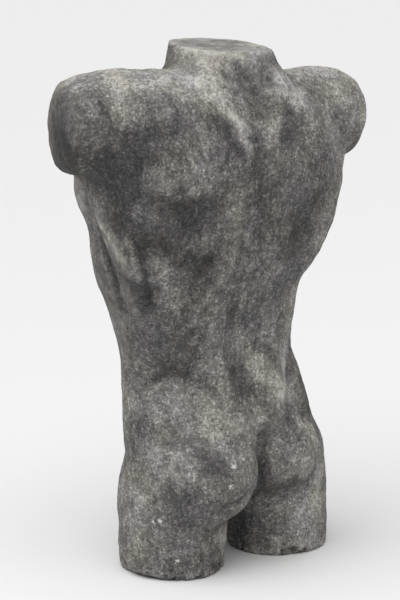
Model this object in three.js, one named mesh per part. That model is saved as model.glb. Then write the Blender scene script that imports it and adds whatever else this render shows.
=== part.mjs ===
// A male torso statue in cast stone: neck, arms and thighs are cut off short, and it stands
// on the two flat cuts under its thighs. It is one solid, in millimetres.
//
// Axes: +Z up, the chest faces -Y and the back faces +Y, and the figure's left side is +X.
// The origin is on the floor, under the middle of the bounding box.
//
// The figure is built the way a sculptor masses one in clay. A lofted trunk gives the big
// outline, rounded muscle masses are blended onto it, and furrows are pressed into it. All of
// it is one signed field, negative inside the stone. The field is posed with the weight on the
// right leg, cut flat at the neck and under the thighs, and meshed in cells.
import * as THREE from "three";

// ---------------------------------------------------------------- driving dimensions, mm
const CELL = 15.6; // edge of one meshing cell, which sets the facet size

const NECK_HALF = 73; // half the width of the neck
const CHEST_HALF = 172; // half the width of the ribs under the armpit
const WAIST_HALF = 134; // half the width of the waist at its narrowest
const HIP_HALF = 147; // half the width across the hips
const CHEST_DEPTH_HALF = 114; // half the depth of the ribs
const WAIST_DEPTH_HALF = 88; // half the depth of the waist

const CROTCH_Z = 112;
const HIP_Z = 165;
const CREST_Z = 262; // top of the hip bone at the side
const WAIST_Z = 326;
const RIB_Z = 385; // lower edge of the ribs at the side
const CHEST_Z = 570; // fullest part of the chest
const ARM_Z = 662; // middle of the arms where they leave the shoulders
const SHOULDER_Z = 722; // top line of the shoulders
const NECK_Z = 766; // middle of the neck cut

// Each arm stump: how far out its cut face lies, the height of its middle, its radius, and the
// degrees it reaches forward of straight sideways, and the rounding of its cut rim.
const LEFT_ARM = { reach: 257, z: 651, radius: 68, turn: 17, rim: 30 };
const RIGHT_ARM = { reach: 234, z: 668, radius: 64, turn: 5, rim: 18 };
const NECK_TILT = { back: 8, right: 2.5 }; // degrees that the neck cut falls each way
const NECK_RIM = 14; // fillet of the rim of the neck cut
const THIGH_RIM = 14; // fillet of the rims under the thighs

// Each thigh: how far out its middle lies at the hip and at the floor, and its radius there.
const LEFT_THIGH = { hip: 94, out: 95, radius: 77 };
const RIGHT_THIGH = { hip: 86, out: 107, radius: 77 };

// ---------------------------------------------------------------- field algebra
const DEG = Math.PI / 180;

// The union of two fields with a fillet of about `soft` millimetres, and its opposite.
function blend(a, b, soft) {
  const overlap = Math.max(soft - Math.abs(a - b), 0) / soft;
  return Math.min(a, b) - (overlap * overlap * soft) / 4;
}

function press(a, tool, soft) {
  return -blend(-a, tool, soft);
}

// A smooth function of height through a few [height, value] stations.
function profile(stations) {
  const slope = stations.map((_, i) => {
    const [z0, v0] = stations[Math.max(i - 1, 0)];
    const [z1, v1] = stations[Math.min(i + 1, stations.length - 1)];
    return (v1 - v0) / (z1 - z0);
  });
  return (z) => {
    if (z <= stations[0][0]) return stations[0][1];
    if (z >= stations.at(-1)[0]) return stations.at(-1)[1];
    const i = stations.findIndex(([top]) => z < top) - 1;
    const [z0, v0] = stations[i];
    const [z1, v1] = stations[i + 1];
    const span = z1 - z0;
    const t = (z - z0) / span;
    const rise = t * t * (3 - 2 * t);
    const leave = t * (1 - t) * (1 - t) * span * slope[i];
    const arrive = -t * t * (1 - t) * span * slope[i + 1];
    return v0 + (v1 - v0) * rise + leave + arrive;
  };
}

// A muscle or fat mass: an ellipsoid at a place, with half sizes, turned by degrees about X, Y, Z.
// A squareness over 2 fills it out towards a rounded box.
function mass(at, half, turn = [0, 0, 0], squareness = 2) {
  const euler = new THREE.Euler(...turn.map(THREE.MathUtils.degToRad));
  const toLocal = new THREE.Matrix4().makeRotationFromEuler(euler).invert().elements;
  const power = (v) => Math.pow(v, squareness - 1);
  return (x, y, z) => {
    const dx = x - at[0];
    const dy = y - at[1];
    const dz = z - at[2];
    const u = Math.abs(toLocal[0] * dx + toLocal[4] * dy + toLocal[8] * dz) / half[0];
    const v = Math.abs(toLocal[1] * dx + toLocal[5] * dy + toLocal[9] * dz) / half[1];
    const w = Math.abs(toLocal[2] * dx + toLocal[6] * dy + toLocal[10] * dz) / half[2];
    const reach = Math.pow(u * power(u) + v * power(v) + w * power(w), 1 / squareness);
    const steep = Math.hypot(power(u) / half[0], power(v) / half[1], power(w) / half[2]);
    return reach < 1e-3 ? -Math.min(...half) : ((reach - 1) * power(reach)) / steep;
  };
}

// A rounded rod from one point to another, with its own radius at each end.
function rod(from, to, fromRadius, toRadius = fromRadius) {
  const way = to.map((v, i) => v - from[i]);
  const square = way.reduce((sum, v) => sum + v * v, 0);
  return (x, y, z) => {
    const dx = x - from[0];
    const dy = y - from[1];
    const dz = z - from[2];
    const along = (dx * way[0] + dy * way[1] + dz * way[2]) / square;
    const t = Math.min(Math.max(along, 0), 1);
    const far = Math.hypot(dx - t * way[0], dy - t * way[1], dz - t * way[2]);
    return far - fromRadius - t * (toRadius - fromRadius);
  };
}

// Several rods end to end: a rope of points with radii, [x, y, z, radius].
function rope(points) {
  const rods = points.slice(1).map((end, i) => {
    const start = points[i];
    return rod(start.slice(0, 3), end.slice(0, 3), start[3], end[3]);
  });
  return (x, y, z) => Math.min(...rods.map((field) => field(x, y, z)));
}

// The same field on the left and on the right.
const pair = (field) => (x, y, z) => Math.min(field(x, y, z), field(-x, y, z));
// A field on one side only: side is 1 for the figure's left and -1 for its right.
const onSide = (side, field) => (x, y, z) => field(side * x, y, z);

// ---------------------------------------------------------------- the trunk
const halfWidth = profile([
  [60, 0.72 * HIP_HALF],
  [120, 0.94 * HIP_HALF],
  [HIP_Z, HIP_HALF],
  [225, 0.95 * HIP_HALF],
  [WAIST_Z, WAIST_HALF],
  [RIB_Z, WAIST_HALF + 9],
  [470, 0.93 * CHEST_HALF],
  [CHEST_Z, CHEST_HALF],
  [640, 0.94 * CHEST_HALF],
  [690, 130],
  [SHOULDER_Z, 84],
  [NECK_Z - 20, NECK_HALF],
]);
const halfDepth = profile([
  [60, 84],
  [120, 96],
  [HIP_Z, 102],
  [225, 98],
  [WAIST_Z, WAIST_DEPTH_HALF],
  [RIB_Z, WAIST_DEPTH_HALF + 4],
  [470, 0.94 * CHEST_DEPTH_HALF],
  [CHEST_Z, CHEST_DEPTH_HALF],
  [640, 0.92 * CHEST_DEPTH_HALF],
  [690, 82],
  [SHOULDER_Z, 74],
  [NECK_Z - 20, NECK_HALF],
]);
// Where the middle of each section lies, front to back: the small of the back is hollow.
const middleY = profile([
  [60, 0],
  [HIP_Z, 2],
  [WAIST_Z, -12],
  [RIB_Z, -8],
  [470, 0],
  [CHEST_Z, 4],
  [640, 12],
  [690, 18],
  [SHOULDER_Z, 16],
  [NECK_Z, 14],
]);

function trunk(x, y, z) {
  const wide = halfWidth(z);
  const deep = halfDepth(z);
  const boxy = 2.45; // a section between an ellipse, 2, and a rounded box
  const u = Math.abs(x) / wide;
  const v = Math.abs(y - middleY(z)) / deep;
  const reach = Math.pow(Math.pow(u, boxy) + Math.pow(v, boxy), 1 / boxy);
  const side = (reach - 1) * Math.min(wide, deep);
  return press(side, z - CROTCH_Z, 60); // closed below, between the thighs
}

// ---------------------------------------------------------------- muscle masses
// Each entry is [field, fillet].
function armStump({ reach, z: endZ, radius, turn, rim }) {
  const way = { x: Math.cos(turn * DEG), y: -Math.sin(turn * DEG) };
  const root = [118, 20, ARM_Z];
  const beyond = reach - root[0] + 60;
  const end = [root[0] + beyond, root[1] + (beyond * way.y) / way.x, endZ - 4];
  const arm = rod(root, end, radius + 4, radius - 1);
  const cutFace = (x, y) => (x - reach) * way.x + y * way.y;
  return (x, y, z) => press(arm(x, y, z), -cutFace(x, y), rim);
}

function shoulders() {
  return [
    [onSide(1, armStump(LEFT_ARM)), 22],
    [onSide(-1, armStump(RIGHT_ARM)), 22],
    [pair(rod([60, 34, 690], [150, 22, 696], 30, 30)), 12], // upper trapezius
    [pair(mass([176, 10, 666], [54, 62, 63])), 22], // deltoid
  ];
}

function backMuscles() {
  return [
    [pair(mass([98, 84, 614], [74, 36, 82], [3, -14, -10])), 24], // shoulder blade
    [pair(rod([100, 92, 580], [169, 48, 622], 20, 27)), 26], // teres, from blade to arm
    [pair(mass([146, 37, 535], [42, 63, 104], [0, 12, 0])), 30], // latissimus
    [pair(rope([[60, 66, 714, 22], [26, 98, 655, 22], [30, 104, 600, 16]])), 20], // trapezius
    [pair(rope([[158, -6, 560, 26], [146, 2, 490, 26], [122, 20, 410, 24], [84, 40, 340, 24]])), 20],
    [pair(rope([[38, 86, 560, 24], [40, 62, 410, 28], [42, 62, 300, 26], [30, 82, 225, 18]])), 24],
  ];
}

function frontMuscles() {
  return [
    [pair(mass([90, -64, 578], [92, 52, 60], [0, -6, 12], 2.6)), 16], // chest muscle
    [pair(rod([139, -60, 563], [184, -30, 632], 35, 32)), 24], // chest muscle, to the arm
    [pair(mass([142, -61, 540], [33, 35, 34])), 16], // lower outer corner of the chest muscle
    [pair(rod([20, -58, 694], [140, -26, 712], 11, 12)), 22], // collar bone
    [pair(mass([70, -40, 470], [82, 68, 92], [0, 24, 0], 2.3)), 22], // front of the ribs
    [pair(mass([32, -66, 376], [33, 36, 134], [0, 0, 0], 2.6)), 14], // belly muscle
    [mass([0, -64, 222], [72, 42, 90], [0, 0, 0], 2.3), 20], // lower belly
    [onSide(1, mass([98, -8, 272], [32, 58, 34])), 24], // flank over the hip bone
    [onSide(-1, mass([88, 0, 272], [32, 56, 38])), 24],
  ];
}

function thigh({ hip, out, radius }) {
  return rod([hip, 2, 130], [out + 1, -4, -40], 83, radius - 1);
}

function hips() {
  return [
    [onSide(1, mass([101, 6, 214], [49, 72, 64])), 30], // upper outer buttock
    [onSide(-1, mass([82, 14, 228], [44, 56, 56])), 28],
    [onSide(1, mass([78, 62, 156], [76, 66, 72], [0, 0, -12])), 18],
    [onSide(-1, mass([59, 62, 160], [57, 56, 62], [0, 0, -14])), 16],
    [onSide(1, thigh(LEFT_THIGH)), 12],
    [onSide(-1, thigh(RIGHT_THIGH)), 12],
    [mass([0, -70, 134], [42, 30, 34]), 30], // groin, kept as one plain rounded mass
  ];
}

function furrows() {
  return [
    [rope([[0, 142, 660, 14], [0, 138, 560, 14], [0, 104, 400, 13], [0, 96, 310, 12]]), 24], // spine
    [mass([0, 128, 158], [12, 46, 84]), 14], // between the buttocks
    [rope([[0, 130, 108, 12], [0, 90, 84, 16]]), 14],
    [onSide(1, mass([170, 26, -4], [48, 70, 17])), 10], // chipped rim under the left thigh
    [rope([[0, -134, 640, 10], [0, -132, 540, 9], [0, -118, 420, 8], [0, -114, 300, 6]]), 16],
    [pair(rope([[132, -72, 262, 9], [78, -108, 188, 10], [36, -112, 140, 8]])), 18], // hip line
  ];
}

// ---------------------------------------------------------------- pose
// How far each level is pushed sideways, towards the figure's left.
const sway = profile([
  [0, -25],
  [HIP_Z, -22],
  [CREST_Z, -7],
  [WAIST_Z, 3],
  [400, 14],
  [470, 13],
  [CHEST_Z, 6],
  [640, 2],
  [NECK_Z, -7],
]);
// How steeply each level rises towards the figure's left.
const slope = profile([
  [0, 0],
  [100, Math.tan(-5 * DEG)],
  [CREST_Z, Math.tan(-5 * DEG)],
  [RIB_Z, 0],
  [640, Math.tan(3 * DEG)],
  [NECK_Z, Math.tan(2.4 * DEG)],
]);

// The upward normal of the neck cut.
const neckUp = new THREE.Vector3(
  -Math.tan(NECK_TILT.right * DEG),
  Math.tan(NECK_TILT.back * DEG),
  1,
).normalize();

function statueField() {
  const masses = [...shoulders(), ...backMuscles(), ...frontMuscles(), ...hips()];
  const tools = furrows();
  return (posedX, y, posedZ) => {
    const x = posedX - sway(posedZ);
    const z = posedZ - slope(posedZ) * x;
    let field = trunk(x, y, z);
    for (const [part, soft] of masses) field = blend(field, part(x, y, z), soft);
    for (const [tool, soft] of tools) field = press(field, tool(x, y, z), soft);
    const aboveNeck = neckUp.x * posedX + neckUp.y * y + neckUp.z * (posedZ - NECK_Z);
    return press(press(field, -aboveNeck, NECK_RIM), posedZ, THIGH_RIM);
  };
}

// ---------------------------------------------------------------- meshing
// Surface nets: each cell that the surface crosses gets one vertex, pulled onto the surface,
// and each crossed grid edge gets a quad through the four cells around it.
function meshField(field, low, high, cell) {
  const count = low.map((v, i) => Math.ceil((high[i] - v) / cell) + 1);
  const step = [1, count[0], count[0] * count[1]];
  const at = (i, j, k) => i + j * step[1] + k * step[2];
  const place = (i, j, k) => [low[0] + i * cell, low[1] + j * cell, low[2] + k * cell];
  const value = new Float64Array(count[0] * count[1] * count[2]);
  for (let k = 0; k < count[2]; k++)
    for (let j = 0; j < count[1]; j++)
      for (let i = 0; i < count[0]; i++) value[at(i, j, k)] = field(...place(i, j, k));

  const corners = [0, 1, 2, 3, 4, 5, 6, 7].map((c) => [c & 1, (c >> 1) & 1, (c >> 2) & 1]);
  const edges = [];
  for (const a of corners)
    for (const b of corners) {
      const apart = b.map((v, axis) => v - a[axis]);
      if (Math.min(...apart) === 0 && apart[0] + apart[1] + apart[2] === 1) edges.push([a, b]);
    }

  const vertexOf = new Int32Array(value.length).fill(-1);
  const vertices = [];
  for (let k = 0; k < count[2] - 1; k++)
    for (let j = 0; j < count[1] - 1; j++)
      for (let i = 0; i < count[0] - 1; i++) {
        const sum = [0, 0, 0];
        let crossings = 0;
        for (const [a, b] of edges) {
          const va = value[at(i + a[0], j + a[1], k + a[2])];
          const vb = value[at(i + b[0], j + b[1], k + b[2])];
          if (va < 0 === vb < 0) continue;
          const t = va / (va - vb);
          for (let axis = 0; axis < 3; axis++) sum[axis] += a[axis] + t * (b[axis] - a[axis]);
          crossings++;
        }
        if (!crossings) continue;
        const corner = place(i, j, k);
        const start = sum.map((v, axis) => corner[axis] + (v / crossings) * cell);
        vertexOf[at(i, j, k)] = vertices.length;
        vertices.push(pullOnto(field, start));
      }

  const triangles = [];
  for (let k = 1; k < count[2] - 1; k++)
    for (let j = 1; j < count[1] - 1; j++)
      for (let i = 1; i < count[0] - 1; i++)
        for (let axis = 0; axis < 3; axis++) {
          const here = at(i, j, k);
          const inside = value[here] < 0;
          if (inside === value[here + step[axis]] < 0) continue;
          const s = step[(axis + 1) % 3];
          const t = step[(axis + 2) % 3];
          const quad = [here - s - t, here - t, here, here - s].map((cellIndex) => vertexOf[cellIndex]);
          if (!inside) quad.reverse();
          addQuad(triangles, vertices, quad);
        }
  return { vertices, triangles };
}

// Moves a point along the field's slope until it lies on the surface.
function pullOnto(field, start) {
  const probe = 0.5;
  let [x, y, z] = start;
  for (let round = 0; round < 4; round++) {
    const here = field(x, y, z);
    const dx = (field(x + probe, y, z) - here) / probe;
    const dy = (field(x, y + probe, z) - here) / probe;
    const dz = (field(x, y, z + probe) - here) / probe;
    const square = Math.max(dx * dx + dy * dy + dz * dz, 0.2);
    x -= (here * dx) / square;
    y -= (here * dy) / square;
    z -= (here * dz) / square;
  }
  return [x, y, z];
}

// Splits a quad along its shorter diagonal.
function addQuad(triangles, vertices, [a, b, c, d]) {
  const gap = (m, n) => Math.hypot(...vertices[m].map((v, i) => v - vertices[n][i]));
  if (gap(a, c) < gap(b, d)) triangles.push(a, b, c, a, c, d);
  else triangles.push(b, c, d, b, d, a);
}

function statue() {
  const low = [-300, -190, -2 * CELL];
  const high = [300, 190, NECK_Z + 3 * CELL];
  const { vertices, triangles } = meshField(statueField(), low, high, CELL);
  return new THREE.BufferGeometry()
    .setAttribute("position", new THREE.Float32BufferAttribute(vertices.flat(), 3))
    .setIndex(triangles);
}

// ---------------------------------------------------------------- the part
const geometry = statue();
geometry.computeBoundingBox();
const { min, max } = geometry.boundingBox;
const castStone = new THREE.MeshStandardMaterial({
  color: "#6a6864",
  roughness: 0.9,
  metalness: 0,
});
const torso = new THREE.Mesh(geometry, castStone);
torso.name = "torso";
torso.position.set(-(min.x + max.x) / 2, -(min.y + max.y) / 2, -min.z);

const part = new THREE.Group();
part.add(torso);
export default part;
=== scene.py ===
# %% [markdown]
# # A weathered torso in cast stone
# The statue is one casting: a male torso with the neck, the arms and the thighs cut off short.
# Its stone is a mix of cement and grit that was poured into a mould, so its skin is grainy and
# full of small pits. A dark wash was brushed over it and rubbed off again where it stands proud.
# The CAD model already has the outline, the pose and the big masses. This lesson adds what the
# carver and the finisher add last: crisp furrows, wear, chips and the patina.

# %% Load the frame
import math
import bpy
import numpy as np
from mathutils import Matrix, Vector, noise
from mathutils.bvhtree import BVHTree


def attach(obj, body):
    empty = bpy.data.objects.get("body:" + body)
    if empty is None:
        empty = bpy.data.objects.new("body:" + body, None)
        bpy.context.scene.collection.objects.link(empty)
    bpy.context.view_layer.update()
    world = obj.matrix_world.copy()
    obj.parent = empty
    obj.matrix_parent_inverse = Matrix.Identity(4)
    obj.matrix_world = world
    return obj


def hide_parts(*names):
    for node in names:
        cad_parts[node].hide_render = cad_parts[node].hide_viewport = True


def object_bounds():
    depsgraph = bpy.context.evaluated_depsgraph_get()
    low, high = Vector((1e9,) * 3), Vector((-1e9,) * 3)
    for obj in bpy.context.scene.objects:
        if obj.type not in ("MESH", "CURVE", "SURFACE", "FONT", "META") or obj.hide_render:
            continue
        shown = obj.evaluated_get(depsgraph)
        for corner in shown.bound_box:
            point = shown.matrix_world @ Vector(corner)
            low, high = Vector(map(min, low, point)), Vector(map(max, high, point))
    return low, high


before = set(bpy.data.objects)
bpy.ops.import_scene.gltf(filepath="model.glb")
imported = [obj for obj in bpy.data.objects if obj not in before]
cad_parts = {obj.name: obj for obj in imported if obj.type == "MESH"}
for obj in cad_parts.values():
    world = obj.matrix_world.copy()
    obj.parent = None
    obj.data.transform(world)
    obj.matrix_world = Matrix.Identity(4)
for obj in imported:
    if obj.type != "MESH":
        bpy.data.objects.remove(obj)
cad_low, cad_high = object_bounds()
height = cad_high.z - cad_low.z
mm = height / 773
print("the casting stands", round(height, 3), "m tall")

# %% [markdown]
# ## The camera
# The camera comes first, so that every later step is judged in the same view. It stands behind
# the figure on its left, 3 m away and a little above its head. A long lens keeps the shoulders
# and the thighs in proportion.

# %% Camera
def way_out(azimuth, elevation):
    """The direction from the figure to something at these degrees round it and above it."""
    turn, rise = math.radians(azimuth), math.radians(elevation)
    return Vector((math.sin(turn) * math.cos(rise), -math.cos(turn) * math.cos(rise), math.sin(rise)))


def aim(thing, target, azimuth, elevation, distance):
    """Puts a camera or a lamp at a distance from its target and turns it to look there."""
    way = way_out(azimuth, elevation)
    thing.location = target + way * distance
    thing.rotation_euler = (-way).to_track_quat("-Z", "Y").to_euler()


CAMERA_AZIMUTH = 144
middle = (cad_low + cad_high) / 2 + Vector((7, -5, 9)) * mm
bpy.ops.object.camera_add()
camera = bpy.context.active_object
camera.name = "camera"
camera.data.lens = 123.5
aim(camera, middle, CAMERA_AZIMUTH, elevation=12, distance=3.0)
bpy.context.scene.camera = camera
print("the camera stands at", [round(c, 2) for c in camera.location])

# %% [markdown]
# ## A finer skin
# The CAD solid is made of flat facets about 15 mm across. Carving needs a finer skin, so a copy
# of it is merged into one connected mesh, its triangles are joined in pairs, and a Subdivision
# Surface modifier splits each quad into sixteen and rounds the form. A voxel remesh would give
# an even skin too, but it leaves steps on the flat saw cuts.

# %% Copy and refine the casting
def take(piece):
    """Makes one piece the only selected and active object, as a click on it does."""
    bpy.ops.object.select_all(action="DESELECT")
    piece.select_set(True)
    bpy.context.view_layer.objects.active = piece


def use_modifier(piece, kind, **settings):
    """Adds a modifier to a piece, sets it and applies it."""
    take(piece)
    bpy.ops.object.modifier_add(type=kind)
    modifier = piece.modifiers[-1]
    for name, value in settings.items():
        setattr(modifier, name, value)
    bpy.ops.object.modifier_apply(modifier=modifier.name)


take(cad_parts["torso"])
bpy.ops.object.duplicate()
stone = bpy.context.active_object
stone.name = "stone_torso"
bpy.ops.object.mode_set(mode="EDIT")
bpy.ops.mesh.select_all(action="SELECT")
bpy.ops.mesh.remove_doubles(threshold=0.01 * mm)
bpy.ops.mesh.tris_convert_to_quads(face_threshold=math.radians(60), shape_threshold=math.radians(60))
bpy.ops.object.mode_set(mode="OBJECT")
use_modifier(stone, "SUBSURF", levels=2, render_levels=2)
print("the skin has", len(stone.data.polygons), "faces")

# %% [markdown]
# ## Carving strokes
# A carver runs a round gouge along a furrow, and leaves a ridge where two cuts meet. Here a
# stroke is a short line of points close to the stone. Each point is dropped onto the skin, the
# line is filled in between them, and every vertex near it is given a share of the cut: all of it
# on the line, less beside it, and none on skin that faces another way. Depths are added up
# first and the skin is moved once, so the order of the strokes doesn't matter.

# %% The skin as numbers
def read(layer):
    """A copy of the skin's vertex places ("co") or normals ("normal"), one row a vertex."""
    values = np.empty(len(stone.data.vertices) * 3)
    stone.data.vertices.foreach_get(layer, values)
    return values.reshape(-1, 3)


def move(places):
    """Puts the vertices at new places."""
    stone.data.vertices.foreach_set("co", places.ravel())
    stone.data.update()


# %% The stroke
def along(points, gap=4):
    """Points and normals of the skin every few mm along a line that runs over it."""
    corners = [Vector(p) * mm for p in points]
    laid = [skin.find_nearest(corners[0])[:2]]
    for start, end in zip(corners, corners[1:]):
        steps = max(int((end - start).length / (gap * mm)), 1)
        laid += [skin.find_nearest(start.lerp(end, (i + 1) / steps))[:2] for i in range(steps)]
    return laid


def share(points, width, taper=0):
    """Each vertex's share of a stroke: 1 on its line, a third at its width, then none."""
    nearest = np.full(len(places), 1.0)
    facing, strength = np.zeros(len(places)), np.ones(len(places))
    laid = along(points)
    for i, (place, normal) in enumerate(laid):
        apart = np.linalg.norm(wavering - place, axis=1)
        closer = apart < nearest
        nearest[closer] = apart[closer]
        facing[closer] = normals[closer] @ np.array(normal)
        to_end = min(i, len(laid) - 1 - i) * 4
        strength[closer] = min(1, 0.25 + to_end / taper) if taper else 1
    return np.exp(-(nearest / (width * mm)) ** 2) * np.clip(facing * 2, 0, 1) * strength


def waver(places):
    """The places moved a few mm by slow noise, so that strokes laid by them aren't ruler straight."""
    return np.array([p + np.array(noise.noise_vector(Vector(p) / (24 * mm))) * 7 * mm for p in places])


noise.seed_set(1)  # otherwise the clock seeds the noise, and each run wavers its own way
places, normals = read("co"), read("normal")
wavering = waver(places)
skin = BVHTree.FromObject(stone, bpy.context.evaluated_depsgraph_get())
lift = np.zeros(len(places))


def cut(width, depth, *points):
    """A furrow along a line, or a ridge where the depth is negative. All sizes are in mm."""
    global lift
    lift -= share(points, width, taper=24) * depth * mm


# %% [markdown]
# ## The back
# The two edges of the trapezius run from the neck to a point between the shoulder blades, with
# a hollow between them. The spine is a furrow below that point, between two cords of muscle.

# %% Trapezius and spine
cut(9, -4, (63, 72, 726), (52, 94, 704), (36, 110, 675), (23, 120, 647), (6, 116, 615))
cut(10, 2.5, (80, 95, 690), (58, 110, 662), (38, 118, 637), (20, 121, 608))
cut(11, -3, (-60, 86, 720), (-50, 101, 693), (-38, 112, 667), (-24, 116, 641), (-10, 113, 613))
cut(18, 3, (-8, 86, 724), (-10, 95, 700), (-6, 104, 680))
cut(9, -3, (-82, 76, 722), (-98, 91, 693), (-100, 104, 668))
cut(9, 4, (-66, 100, 690), (-82, 106, 664), (-90, 116, 636))
cut(11, 3, (-14, 112, 590), (-16, 108, 527), (-18, 102, 469))
cut(12, 3, (-24, 95, 425), (-30, 86, 380), (-34, 84, 350))
cut(12, -2.5, (3, 105, 506), (0, 94, 455), (-2, 80, 394), (-6, 72, 340))
print("deepest cut so far", round(-lift.min() / mm, 1), "mm")

# %% Shoulder blades and ribs
cut(12, 3, (189, 20, 582), (180, 75, 573), (152, 101, 562), (118, 108, 553), (80, 112, 548))
cut(22, -3, (150, 98, 527), (119, 100, 527), (88, 105, 530))
cut(12, 3, (150, 96, 505), (110, 90, 478), (80, 96, 472), (55, 103, 476))
cut(6, 4, (172, 77, 512), (160, 72, 467), (146, 60, 437), (134, 52, 412))
cut(10, -3, (150, 90, 493), (132, 81, 461), (112, 74, 424))
cut(9, -4, (186, 0, 535), (184, 25, 510), (176, 42, 478), (165, 48, 448))
cut(8, 6, (176, -20, 522), (178, 2, 490), (168, 10, 455), (158, 14, 420))
cut(8, -3, (184, 56, 523), (173, 63, 484), (152, 58, 440))
cut(9, -3.5, (20, 106, 500), (40, 101, 462), (58, 92, 430), (74, 80, 395), (84, 70, 370))
cut(8, 3, (40, 110, 520), (62, 104, 486), (80, 94, 450), (92, 82, 430))
cut(10, 2, (8, 83, 411), (17, 81, 375), (30, 86, 349))
cut(6, 3.5, (211, 44, 712), (209, 52, 695), (204, 58, 676))
cut(8, 2.5, (117, 76, 712), (116, 90, 690), (112, 100, 668))
print("deepest cut so far", round(-lift.min() / mm, 1), "mm")

# %% [markdown]
# ## The waist and the hips
# The flank folds over the hip bone in a crease. The sacrum is a flat hollow with a ridge on each
# side, and one fold under each buttock parts it from the thigh. They are the same strokes, so
# only their lines and depths are new.

# %% Waist, sacrum and buttocks
cut(6, 4, (119, 10, 286), (110, 32, 300), (96, 50, 309), (80, 60, 313))
cut(16, 3, (110, 30, 312), (86, 58, 325), (66, 72, 335))
cut(9, 2.5, (34, 86, 352), (18, 83, 318), (2, 85, 290))
cut(12, -3, (-8, 72, 355), (-22, 78, 315), (-34, 86, 284))
cut(9, 2.5, (-57, 80, 340), (-60, 85, 300))
cut(10, -3, (-92, 62, 318), (-84, 74, 292), (-72, 88, 262))
cut(8, 3, (-36, 90, 222), (-42, 88, 195), (-43, 83, 165), (-42, 80, 140))
cut(8, 4, (-10, 114, 140), (11, 118, 131), (40, 119, 121), (64, 110, 112))
cut(9, 3, (-84, 92, 250), (-90, 100, 218), (-88, 110, 190))
cut(9, 3, (-125, 78, 240), (-118, 90, 210), (-106, 104, 180))
cut(18, 3, (123, 30, 222), (118, 44, 222))
print("deepest cut", round(-lift.min() / mm, 1), "mm, highest ridge", round(lift.max() / mm, 1), "mm")

# %% Move the skin
move(places + normals * lift[:, None])

# %% [markdown]
# ## The saw cut through the neck
# The neck is sawn off almost flat. The subdivision has rounded the rim, so the top of the neck
# is first drawn up along the saw's normal and then pressed back onto its plane. That leaves a
# flat face with a crisp rim.

# %% Neck cut
places, normals = read("co"), read("normal")
on_top = (places[:, 2] > cad_high.z - 0.05 * height) & (normals[:, 2] > 0.97)
saw_normal = normals[on_top].mean(axis=0)
saw_normal /= np.linalg.norm(saw_normal)
saw_height = np.percentile(places[on_top] @ saw_normal, 90) - 1 * mm
above = places @ saw_normal - saw_height
near_top = np.clip((above + 30 * mm) / (30 * mm), 0, 1) * (places[:, 2] > cad_high.z - 0.1 * height)
raised = above + 14 * mm * near_top ** 2
change = np.where(near_top > 0, np.minimum(raised, 0) - above, 0)
move(places + change[:, None] * saw_normal)
print("saw cut tilts", round(math.degrees(math.acos(saw_normal[2])), 1), "degrees")

# %% [markdown]
# ## Worn and chipped stone
# Cast stone is never quite smooth. Displace modifiers with soft noise push the skin in and out
# by a few millimetres: broad swells from the modelling first, then small hollows of wear.

# %% Uneven skin
def roughen(name, lump, relief):
    """Pushes the skin in and out by up to half the relief, in lumps of that size in mm."""
    pattern = bpy.data.textures.new(name, "CLOUDS")
    pattern.noise_scale = lump * mm
    pattern.noise_depth = 2
    settings = {"texture": pattern, "texture_coords": "LOCAL", "mid_level": 0.5}
    use_modifier(stone, "DISPLACE", strength=relief * mm, **settings)


roughen("swells", 40, 4)
roughen("wear", 14, 1.8)

# %% [markdown]
# ## The foot of the casting
# The thighs end in saw cuts that the figure stands on. Their rims are drawn down to the floor, so
# that they are crisp again, and then bitten by noise, which is what knocks and damp do to a rim.

# %% Base cut and chipped rims
places, normals = read("co"), read("normal")
rise = places[:, 2] - cad_low.z
near_floor = np.clip(1 - rise / (36 * mm), 0, 1)
places[:, 2] -= 16 * mm * near_floor ** 2
bites = np.array([noise.fractal(Vector(p) / (20 * mm), 1.0, 2.0, 3) for p in places])
low_rim = np.exp(-((rise - 6 * mm) / (14 * mm)) ** 2)
chips = np.clip(bites * 2 - 0.2, 0, 1) * low_rim * 8 * mm
places -= normals * chips[:, None]
places[:, 2] = np.maximum(places[:, 2], cad_low.z)
move(places)
take(stone)
bpy.ops.object.shade_smooth()
print("chips go in up to", round(chips.max() / mm, 1), "mm")

# %% [markdown]
# ## Where the wash stays, and painted shade and light
# A wash runs into hollows and is rubbed off ridges. How proud a vertex stands is found by
# smoothing a copy of the skin and measuring how far the real skin lies outside it, once for
# small relief and once for large. Broad strokes of wash and of rubbing then darken or lighten
# whole areas, with the same tool that cut the furrows; some of these strokes also paint shade
# and light. Painting a vertex colour layer would do this too, but strokes in code can be
# changed one at a time.

# %% How proud the skin stands
def smoothed(values, rounds):
    """The values after each vertex has taken the mean of its neighbours a number of times."""
    for _ in range(rounds):
        total = np.empty_like(values)
        for k in range(values.shape[1]):
            total[:, k] = np.bincount(first, values[second, k], len(values))
            total[:, k] += np.bincount(second, values[first, k], len(values))
        values = 0.5 * values + 0.5 * total / neighbours[:, None]
    return values


edges = np.empty(len(stone.data.edges) * 2, dtype=np.int64)
stone.data.edges.foreach_get("vertices", edges)
first, second = edges.reshape(-1, 2).T
places, normals = read("co"), read("normal")
neighbours = np.bincount(first, minlength=len(places)) + np.bincount(second, minlength=len(places))
fine = ((places - smoothed(places, 12)) * normals).sum(axis=1)
broad = ((places - smoothed(places, 90)) * normals).sum(axis=1)
print("fine relief", round(fine.std() / mm, 2), "mm, broad relief", round(broad.std() / mm, 2), "mm")

# %% Patches of wash, rubbing, painted shade and painted light
skin = BVHTree.FromObject(stone, bpy.context.evaluated_depsgraph_get())
wavering = waver(places)
up = normals[:, 2]
# Faces turned up are paler, as dust settles there; faces turned down are darker, which is painted shade.
patina_and_painted_light = 0.5 + 0.3 * np.clip(up, 0, 1) ** 2 - 0.35 * np.clip(-up, 0, 1)
patina_and_painted_light += 0.14 * np.clip(fine / (2 * mm), -1, 1) + 0.28 * np.clip(broad / (6 * mm), -1, 1)


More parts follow.
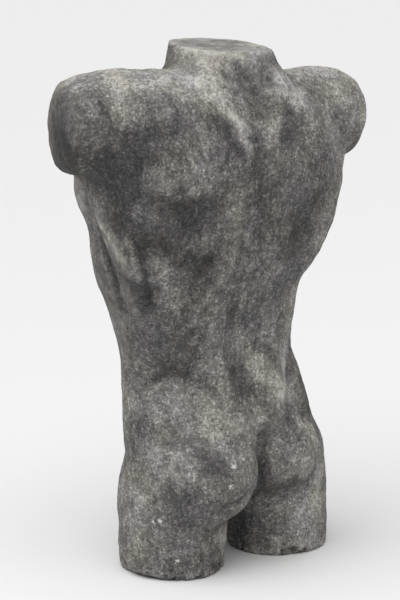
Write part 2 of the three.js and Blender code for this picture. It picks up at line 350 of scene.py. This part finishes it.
# Its strokes lay the patina, and some of them lay painted shade and painted light.
def paint_patina_and_light(width, tone, *points):
    """Darkens the skin near a line, or lightens it where the tone is positive."""
    global patina_and_painted_light
    patina_and_painted_light += share(points, width) * tone


# %% [markdown]
# ## Laying the wash, the painted shade and the painted light
# The dark wash stays thick in the flanks and under the shoulder, where painted shade is laid on
# top of it, and the darkening between the thighs is painted shade. It is rubbed through to pale
# stone on the shoulders, the neck, the ribs and the hips, and the side of the chest and waist
# under the left arm is lightened with painted light.

# %% Dark wash and painted shade
paint_patina_and_light(60, -0.35, (248, -10, 670), (244, -5, 640))
paint_patina_and_light(26, -0.3, (232, 36, 704), (222, 48, 684), (205, 58, 690))
paint_patina_and_light(20, -0.5, (246, 0, 648), (240, 20, 622), (232, -4, 612))
paint_patina_and_light(22, -0.25, (183, 50, 560), (183, 51, 535))
paint_patina_and_light(16, -0.2, (10, 108, 680), (-30, 104, 672), (-50, 108, 668))
paint_patina_and_light(14, -0.2, (-33, 119, 590), (-40, 114, 550))
paint_patina_and_light(20, -0.2, (-60, 98, 215), (-85, 100, 200))
paint_patina_and_light(20, -0.25, (-128, 50, 262), (-150, 60, 225))
paint_patina_and_light(18, -0.2, (75, 97, 195), (50, 108, 175))
paint_patina_and_light(20, -0.2, (115, 70, 140), (112, 75, 125))
paint_patina_and_light(18, -0.2, (75, 70, 295), (60, 72, 290))
paint_patina_and_light(28, -0.15, (76, 121, 630), (50, 118, 600))
paint_patina_and_light(26, -0.4, (147, 96, 508), (130, 96, 528), (112, 102, 540))
paint_patina_and_light(20, -0.15, (40, 104, 490), (62, 92, 440))
# Patina and painted shade below the deltoid, where it overhangs the back.
paint_patina_and_light(30, -0.3, (217, 54, 645), (192, 65, 625), (182, 74, 598))
paint_patina_and_light(28, -0.35, (169, 79, 650), (150, 88, 645), (190, 60, 592))
paint_patina_and_light(26, -0.3, (190, 50, 580), (186, 55, 548), (176, 72, 520))
# Painted shade along the lower edge of the shoulder blade, under the arm.
paint_patina_and_light(22, -0.25, (160, 100, 562), (118, 109, 552), (88, 112, 548))
paint_patina_and_light(16, -0.3, (118, 80, 705), (114, 98, 676), (122, 98, 664))
paint_patina_and_light(22, -0.05, (-6, 88, 720), (-14, 95, 700))
paint_patina_and_light(18, -0.2, (58, 108, 665), (36, 119, 637), (22, 121, 608))
paint_patina_and_light(12, -0.2, (-145, 79, 690), (-142, 74, 694))
paint_patina_and_light(24, -0.15, (-60, 116, 670), (-70, 116, 650))
paint_patina_and_light(28, -0.25, (-112, 119, 600), (-120, 112, 560))
paint_patina_and_light(24, -0.3, (-40, 108, 515), (-60, 106, 490), (-100, 98, 505))
paint_patina_and_light(20, -0.25, (101, 90, 478), (70, 98, 470))
paint_patina_and_light(12, -0.3, (178, -6, 500), (165, 5, 450), (150, 8, 410))
paint_patina_and_light(28, -0.15, (155, 42, 440), (140, 42, 395), (128, 40, 360))
paint_patina_and_light(9, -0.3, (170, 77, 508), (158, 72, 467), (138, 54, 415))
paint_patina_and_light(18, -0.15, (-24, 93, 420), (-42, 88, 400), (-30, 86, 380))
paint_patina_and_light(14, -0.25, (92, 62, 355), (76, 73, 366))
paint_patina_and_light(24, -0.08, (120, 10, 300), (105, 40, 315), (80, 62, 325))
paint_patina_and_light(8, -0.3, (112, 28, 298), (96, 50, 308), (80, 60, 313))
paint_patina_and_light(12, -0.3, (34, 86, 350), (16, 83, 315), (5, 88, 285))
paint_patina_and_light(20, -0.1, (5, 90, 262), (8, 92, 250), (0, 98, 215))
paint_patina_and_light(16, -0.25, (124, 12, 228), (116, 45, 224))
paint_patina_and_light(16, -0.15, (75, 92, 200), (60, 108, 180))
paint_patina_and_light(30, -0.2, (112, 84, 140), (80, 112, 140), (40, 122, 145))
paint_patina_and_light(12, -0.3, (-44, 82, 140), (-66, 90, 122), (-90, 100, 124))
# Painted shade between the thighs, on the inner side of the right thigh.
paint_patina_and_light(22, -0.25, (-45, -10, 60), (-52, 10, 100), (-50, 0, 20))
paint_patina_and_light(30, -0.15, (134, 10, 40), (125, 40, 20), (90, 66, 10))
paint_patina_and_light(16, -0.2, (40, 78, 10), (20, 60, 20))

# %% Rubbed and pale places, and painted light
paint_patina_and_light(24, 0.15, (180, 44, 722), (160, 53, 722), (135, 55, 724))
paint_patina_and_light(14, 0.25, (196, 58, 700), (188, 64, 678))
paint_patina_and_light(10, 0.15, (224, 50, 690), (222, 52, 660), (205, 58, 648))
paint_patina_and_light(22, 0.3, (80, 62, 728), (62, 78, 722), (48, 92, 704))
paint_patina_and_light(9, 0.2, (52, 94, 704), (36, 110, 675), (23, 120, 647))
paint_patina_and_light(16, 0.2, (8, 100, 690), (-5, 104, 680), (-10, 110, 660))
paint_patina_and_light(16, 0.3, (-70, 80, 724), (-90, 80, 712), (-97, 88, 698))
paint_patina_and_light(30, 0.15, (-190, 65, 690), (-200, 75, 660), (-160, 96, 645))
paint_patina_and_light(12, 0.15, (100, 118, 612), (70, 120, 600))
paint_patina_and_light(10, 0.1, (186, 0, 533), (184, 25, 508), (176, 42, 478))
paint_patina_and_light(16, 0.15, (144, 82, 470), (128, 78, 440), (110, 74, 418))
paint_patina_and_light(9, 0.2, (-98, 92, 218), (-112, 82, 200))
paint_patina_and_light(14, 0.25, (-20, 92, 232), (-28, 88, 208), (-36, 84, 180))
# Painted light on the side of the chest and the waist that faces the left softbox.
paint_patina_and_light(26, 0.3, (175, -55, 560), (170, -62, 535))
paint_patina_and_light(22, 0.05, (152, -45, 430), (138, -30, 380), (122, -30, 340))
paint_patina_and_light(22, 0.15, (112, 40, 268), (88, 62, 268), (60, 76, 268))
paint_patina_and_light(20, 0.25, (120, 40, 190), (100, 74, 185), (108, 60, 172))
paint_patina_and_light(18, 0.2, (60, 88, 232), (45, 95, 213))
paint_patina_and_light(20, 0.25, (-2, 72, 362), (-14, 76, 330), (-30, 84, 295))
paint_patina_and_light(14, 0.3, (-92, 62, 318), (-84, 74, 292), (-72, 88, 262))
paint_patina_and_light(20, 0.3, (57, 16, 748), (58, 34, 738), (47, 50, 750))
paint_patina_and_light(14, 0.3, (-70, 98, 700), (-80, 96, 690))
paint_patina_and_light(20, 0.3, (58, 72, 266), (48, 80, 256))
paint_patina_and_light(16, 0.25, (35, 88, 235), (15, 97, 222))
paint_patina_and_light(20, 0.25, (-70, 94, 268), (-95, 85, 262))
paint_patina_and_light(26, 0.2, (-140, 78, 120), (-150, 74, 60))
paint_patina_and_light(16, 0.2, (134, 10, 75), (133, 12, 60))
paint_patina_and_light(14, 0.4, (20, 68, 60), (5, 50, 50))
paint_patina_and_light(16, 0.25, (-130, 60, 420), (-115, 70, 380), (-95, 72, 330))
paint_patina_and_light(20, 0.2, (-132, 98, 514), (-139, 91, 483))
paint_patina_and_light(16, 0.15, (-125, 90, 205), (-150, 80, 160), (-155, 74, 120))
paint_patina_and_light(30, 0.25, (-95, 70, 85), (-125, 72, 60), (-150, 70, 85))
paint_patina_and_light(20, 0.15, (52, 90, 75), (80, 80, 70))
patina_and_painted_light = np.clip(patina_and_painted_light, 0, 1)

# %% [markdown]
# ## Smooth skin, scrapes and nicks
# Where the mould was clean the skin is smoother and the grit hardly shows. A scraper has left
# slanting marks on one buttock, and a few small nicks show bare stone.

# %% Skin left smooth by the mould
polish = np.zeros(len(places))
for width, points in (
    (50, [(246, -10, 670), (246, -5, 640)]),
    (14, [(188, -5, 540), (184, 22, 508), (172, 38, 470), (150, 30, 410)]),
    (26, [(176, -60, 560), (165, -70, 530)]),
    (30, [(150, -45, 430), (132, -30, 370)]),
    (14, [(-84, 74, 300), (-72, 88, 262)]),
    (80, [(0, 10, 768), (-20, 10, 768)]),
):
    polish = np.maximum(polish, share(points, width))
scrape = share([(60, 90, 235), (35, 108, 200), (70, 108, 180), (60, 118, 160)], 34)
nicks = np.zeros(len(places))
for spot in ((14, 112, 184), (37, 118, 180), (41, 124, 150), (118, 50, 96), (128, 42, 92), (94, 65, 31)):
    nicks = np.maximum(nicks, share([spot], 5))
for name, values in (("patina_and_painted_light", patina_and_painted_light), ("polish", polish), ("scrape", scrape), ("nicks", nicks)):
    stone.data.attributes.new(name, "FLOAT", "POINT").data.foreach_set("value", values.astype(np.float32))
print("rub runs from", round(float(patina_and_painted_light.min()), 2), "to", round(float(patina_and_painted_light.max()), 2))

# %% [markdown]
# ## The stone and its patina
# Cast stone is cement with grit in it. It is dull, so it scatters light and has no clear
# highlight. The eye reads three sizes of pattern in it: cloudy wash, brushed streaks and grit.
# Procedural noise gives all three without a seam, because it is read in the object's own space.

# %% Material helpers
def linear(hex_colour):
    """A linear colour from an sRGB hex value."""
    values = [int(hex_colour[i:i + 2], 16) / 255 for i in (1, 3, 5)]
    return [v / 12.92 if v <= 0.04045 else ((v + 0.055) / 1.055) ** 2.4 for v in values] + [1]


def add(tree, kind, inputs=(), **settings):
    """Adds a node with its settings, and sets or links its inputs."""
    made = tree.nodes.new(kind)
    for name, value in settings.items():
        setattr(made, name, value)
    for name, value in dict(inputs).items():
        if isinstance(value, bpy.types.NodeSocket):
            tree.links.new(value, made.inputs[name])
        else:
            made.inputs[name].default_value = value
    return made


# %% Sizes of the patterns, in metres
BLOTCH = 0.035
STREAK = 0.007
SCRATCH = 0.006
SCUFF = 0.008
PIT_SPACING = 0.013
HUE_CLOUD = 0.06
# Real grit is finer and would not show from here, so it is drawn at two to three millimetres.
FINE_GRIT = 0.0022
GRAIN = 0.0028
print("patterns run from", FINE_GRIT * 1000, "to", HUE_CLOUD * 1000, "mm")

# %% Cast stone under a dark wash, with painted shade and light in its wash mask: dull, cloudy and gritty to the eye
cast_stone = bpy.data.materials.new("cast_stone_wash_and_painted_light")
cast_stone.use_nodes = True
tree = cast_stone.node_tree
shader = tree.nodes["Principled BSDF"]
where = add(tree, "ShaderNodeTexCoord").outputs["Object"]
# This mask holds the patina, painted shade under the arm, on faces turned down and between the thighs, and
# painted light on the left side.
patina_and_painted_light_fac = add(tree, "ShaderNodeAttribute", attribute_name="patina_and_painted_light").outputs["Fac"]
polished = add(tree, "ShaderNodeAttribute", attribute_name="polish").outputs["Fac"]
scraped = add(tree, "ShaderNodeAttribute", attribute_name="scrape").outputs["Fac"]
nicked = add(tree, "ShaderNodeAttribute", attribute_name="nicks").outputs["Fac"]
lean_down = {"Vector": where, "Rotation": (0.24, 0.3, 0), "Scale": (1, 1, 0.22)}
down = add(tree, "ShaderNodeMapping", lean_down).outputs[0]
lean_across = {"Vector": where, "Rotation": (0, -0.6, 0), "Scale": (0.2, 1, 1)}
across = add(tree, "ShaderNodeMapping", lean_across).outputs[0]
cloudy = {"Vector": where, "Scale": 1 / BLOTCH, "Detail": 5, "Roughness": 0.6, "Distortion": 0.6}
blotches = add(tree, "ShaderNodeTexNoise", cloudy).outputs["Fac"]
brush = {"Vector": down, "Scale": 1 / STREAK, "Detail": 3, "Roughness": 0.6}
brushed = add(tree, "ShaderNodeTexNoise", brush).outputs["Fac"]
scraper = {"Vector": across, "Scale": 1 / SCRATCH, "Detail": 2, "Roughness": 0.6}
scratches = add(tree, "ShaderNodeTexNoise", scraper).outputs["Fac"]
streaks = add(tree, "ShaderNodeMix", {0: scraped, 2: brushed, 3: scratches}).outputs[0]
scuffed = {"Vector": where, "Scale": 1 / SCUFF, "Detail": 3, "Roughness": 0.7}
scuffs = add(tree, "ShaderNodeTexNoise", scuffed).outputs["Fac"]
gritty = {"Vector": where, "Scale": 1 / FINE_GRIT, "Detail": 1}
fines = add(tree, "ShaderNodeTexNoise", gritty).outputs["Fac"]
grains = add(tree, "ShaderNodeTexVoronoi", {"Vector": where, "Scale": 1 / GRAIN}).outputs["Color"]
holes = add(tree, "ShaderNodeTexVoronoi", {"Vector": where, "Scale": 1 / PIT_SPACING}).outputs["Distance"]

# %% From relief and noise to a tone
tone = add(tree, "ShaderNodeMath", {0: blotches, 1: 1.0, 2: patina_and_painted_light_fac}, operation="MULTIPLY_ADD").outputs[0]
tone = add(tree, "ShaderNodeMath", {0: streaks, 1: 0.5, 2: tone}, operation="MULTIPLY_ADD").outputs[0]
tone = add(tree, "ShaderNodeMath", {0: scuffs, 1: 0.8, 2: tone}, operation="MULTIPLY_ADD").outputs[0]
tone = add(tree, "ShaderNodeMath", {0: tone, 1: -1.13}, operation="ADD").outputs[0]
grit = add(tree, "ShaderNodeMath", {0: fines, 1: grains}, operation="ADD").outputs[0]
grit = add(tree, "ShaderNodeMath", {0: grit, 1: -1}, operation="ADD").outputs[0]
pale_grains = {"Value": grains, "From Min": 0.64, "From Max": 0.84, "To Max": 0.3}
specks = add(tree, "ShaderNodeMapRange", pale_grains).outputs[0]
grit = add(tree, "ShaderNodeMath", {0: grit, 1: specks}, operation="ADD").outputs[0]
grit_scale = add(tree, "ShaderNodeMapRange", {"Value": polished, "To Min": 0.3, "To Max": 0.06}).outputs[0]
soft_tone = add(tree, "ShaderNodeMath", {0: tone, 1: 0.7, 2: 0.12}, operation="MULTIPLY_ADD").outputs[0]
gritted = {0: grit, 1: grit_scale, 2: soft_tone}
shade = add(tree, "ShaderNodeMath", gritted, operation="MULTIPLY_ADD").outputs[0]
pits = {"Value": holes, "From Min": 0.08, "From Max": 0.16, "To Min": -0.3, "To Max": 0}
pitted = add(tree, "ShaderNodeMapRange", pits).outputs[0]
shade = add(tree, "ShaderNodeMath", {0: shade, 1: pitted}, operation="ADD").outputs[0]

# %% From tone to colour
base = add(tree, "ShaderNodeValToRGB", {"Fac": shade})
ramp = base.color_ramp
ramp.elements[0].color = linear("#2b2b2c")
ramp.elements[1].color = linear("#c2c1bd")
for place, colour in ((0.3, "#4b4a4a"), (0.5, "#696866"), (0.7, "#8a8985")):
    ramp.elements.new(place).color = linear(colour)
hues = add(tree, "ShaderNodeTexNoise", {"Vector": where, "Scale": 1 / HUE_CLOUD, "Detail": 3}).outputs["Fac"]
hues = add(tree, "ShaderNodeMapRange", {"Value": hues, "From Min": 0.38, "From Max": 0.62}).outputs[0]
cool_to_warm = {0: hues, 6: linear("#fdfbff"), 7: linear("#fffdf5")}
tint = add(tree, "ShaderNodeMix", cool_to_warm, data_type="RGBA").outputs[2]
both = {0: 1.0, 6: base.outputs["Color"], 7: tint}
tinted = add(tree, "ShaderNodeMix", both, data_type="RGBA", blend_type="MULTIPLY").outputs[2]
bare = add(tree, "ShaderNodeMath", {0: nicked, 1: fines}, operation="ADD").outputs[0]
bare = add(tree, "ShaderNodeMapRange", {"Value": bare, "From Min": 1.0, "From Max": 1.2}).outputs[0]
nicked_skin = {0: bare, 6: tinted, 7: linear("#cfcfcc")}
surface = add(tree, "ShaderNodeMix", nicked_skin, data_type="RGBA").outputs[2]
tree.links.new(surface, shader.inputs["Base Color"])
shader.inputs["Roughness"].default_value = 0.9
shader.inputs["IOR"].default_value = 1.5
relief = add(tree, "ShaderNodeMath", {0: scuffs, 1: 2.5, 2: grit}, operation="MULTIPLY_ADD").outputs[0]
bumps = add(tree, "ShaderNodeBump", {"Height": relief, "Strength": 0.5, "Distance": 0.001})
tree.links.new(bumps.outputs["Normal"], shader.inputs["Normal"])
stone.data.materials.clear()
stone.data.materials.append(cast_stone)
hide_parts("torso")
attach(stone, "root")

# %% [markdown]
# ## The studio
# A pale floor that runs far past the view stands for a photographer's paper sweep. One wide lamp
# overhead and two weak soft ones give the even light of a product picture: relief shows, and no
# shadow has a hard edge. A curved backdrop would do the same with more to model.

# %% Floor
bpy.ops.mesh.primitive_plane_add(size=50, location=(0, 0, cad_low.z))
floor = bpy.context.active_object
floor.name = "studio_floor"
pale = bpy.data.materials.new("pale_studio_paint")
pale.use_nodes = True
pale.node_tree.nodes["Principled BSDF"].inputs["Base Color"].default_value = linear("#f2f2f2")
pale.node_tree.nodes["Principled BSDF"].inputs["Roughness"].default_value = 0.9
floor.data.materials.append(pale)


# %% Light
def lamp(kind, name, azimuth, elevation, power, **settings):
    """A lamp 2.6 m away that looks at the figure."""
    bpy.ops.object.light_add(type=kind)
    made = bpy.context.active_object
    made.name = name
    made.data.energy = power
    for setting, value in settings.items():
        setattr(made.data, setting, value)
    aim(made, middle, azimuth, elevation, 2.6)


lamp("SUN", "overhead_light", CAMERA_AZIMUTH - 25, 68, 2.4, angle=math.radians(70))
lamp("AREA", "left_softbox", CAMERA_AZIMUTH - 45, 35, 7, shape="SQUARE", size=1.5)
lamp("AREA", "right_softbox", CAMERA_AZIMUTH + 60, 25, 5, shape="SQUARE", size=1.5)
studio = bpy.data.worlds.new("white_studio")
bpy.context.scene.world = studio
studio.use_nodes = True
studio.node_tree.nodes["Background"].inputs["Color"].default_value = (1, 1, 1, 1)
studio.node_tree.nodes["Background"].inputs["Strength"].default_value = 0.28
bpy.context.scene.view_settings.view_transform = "Standard"
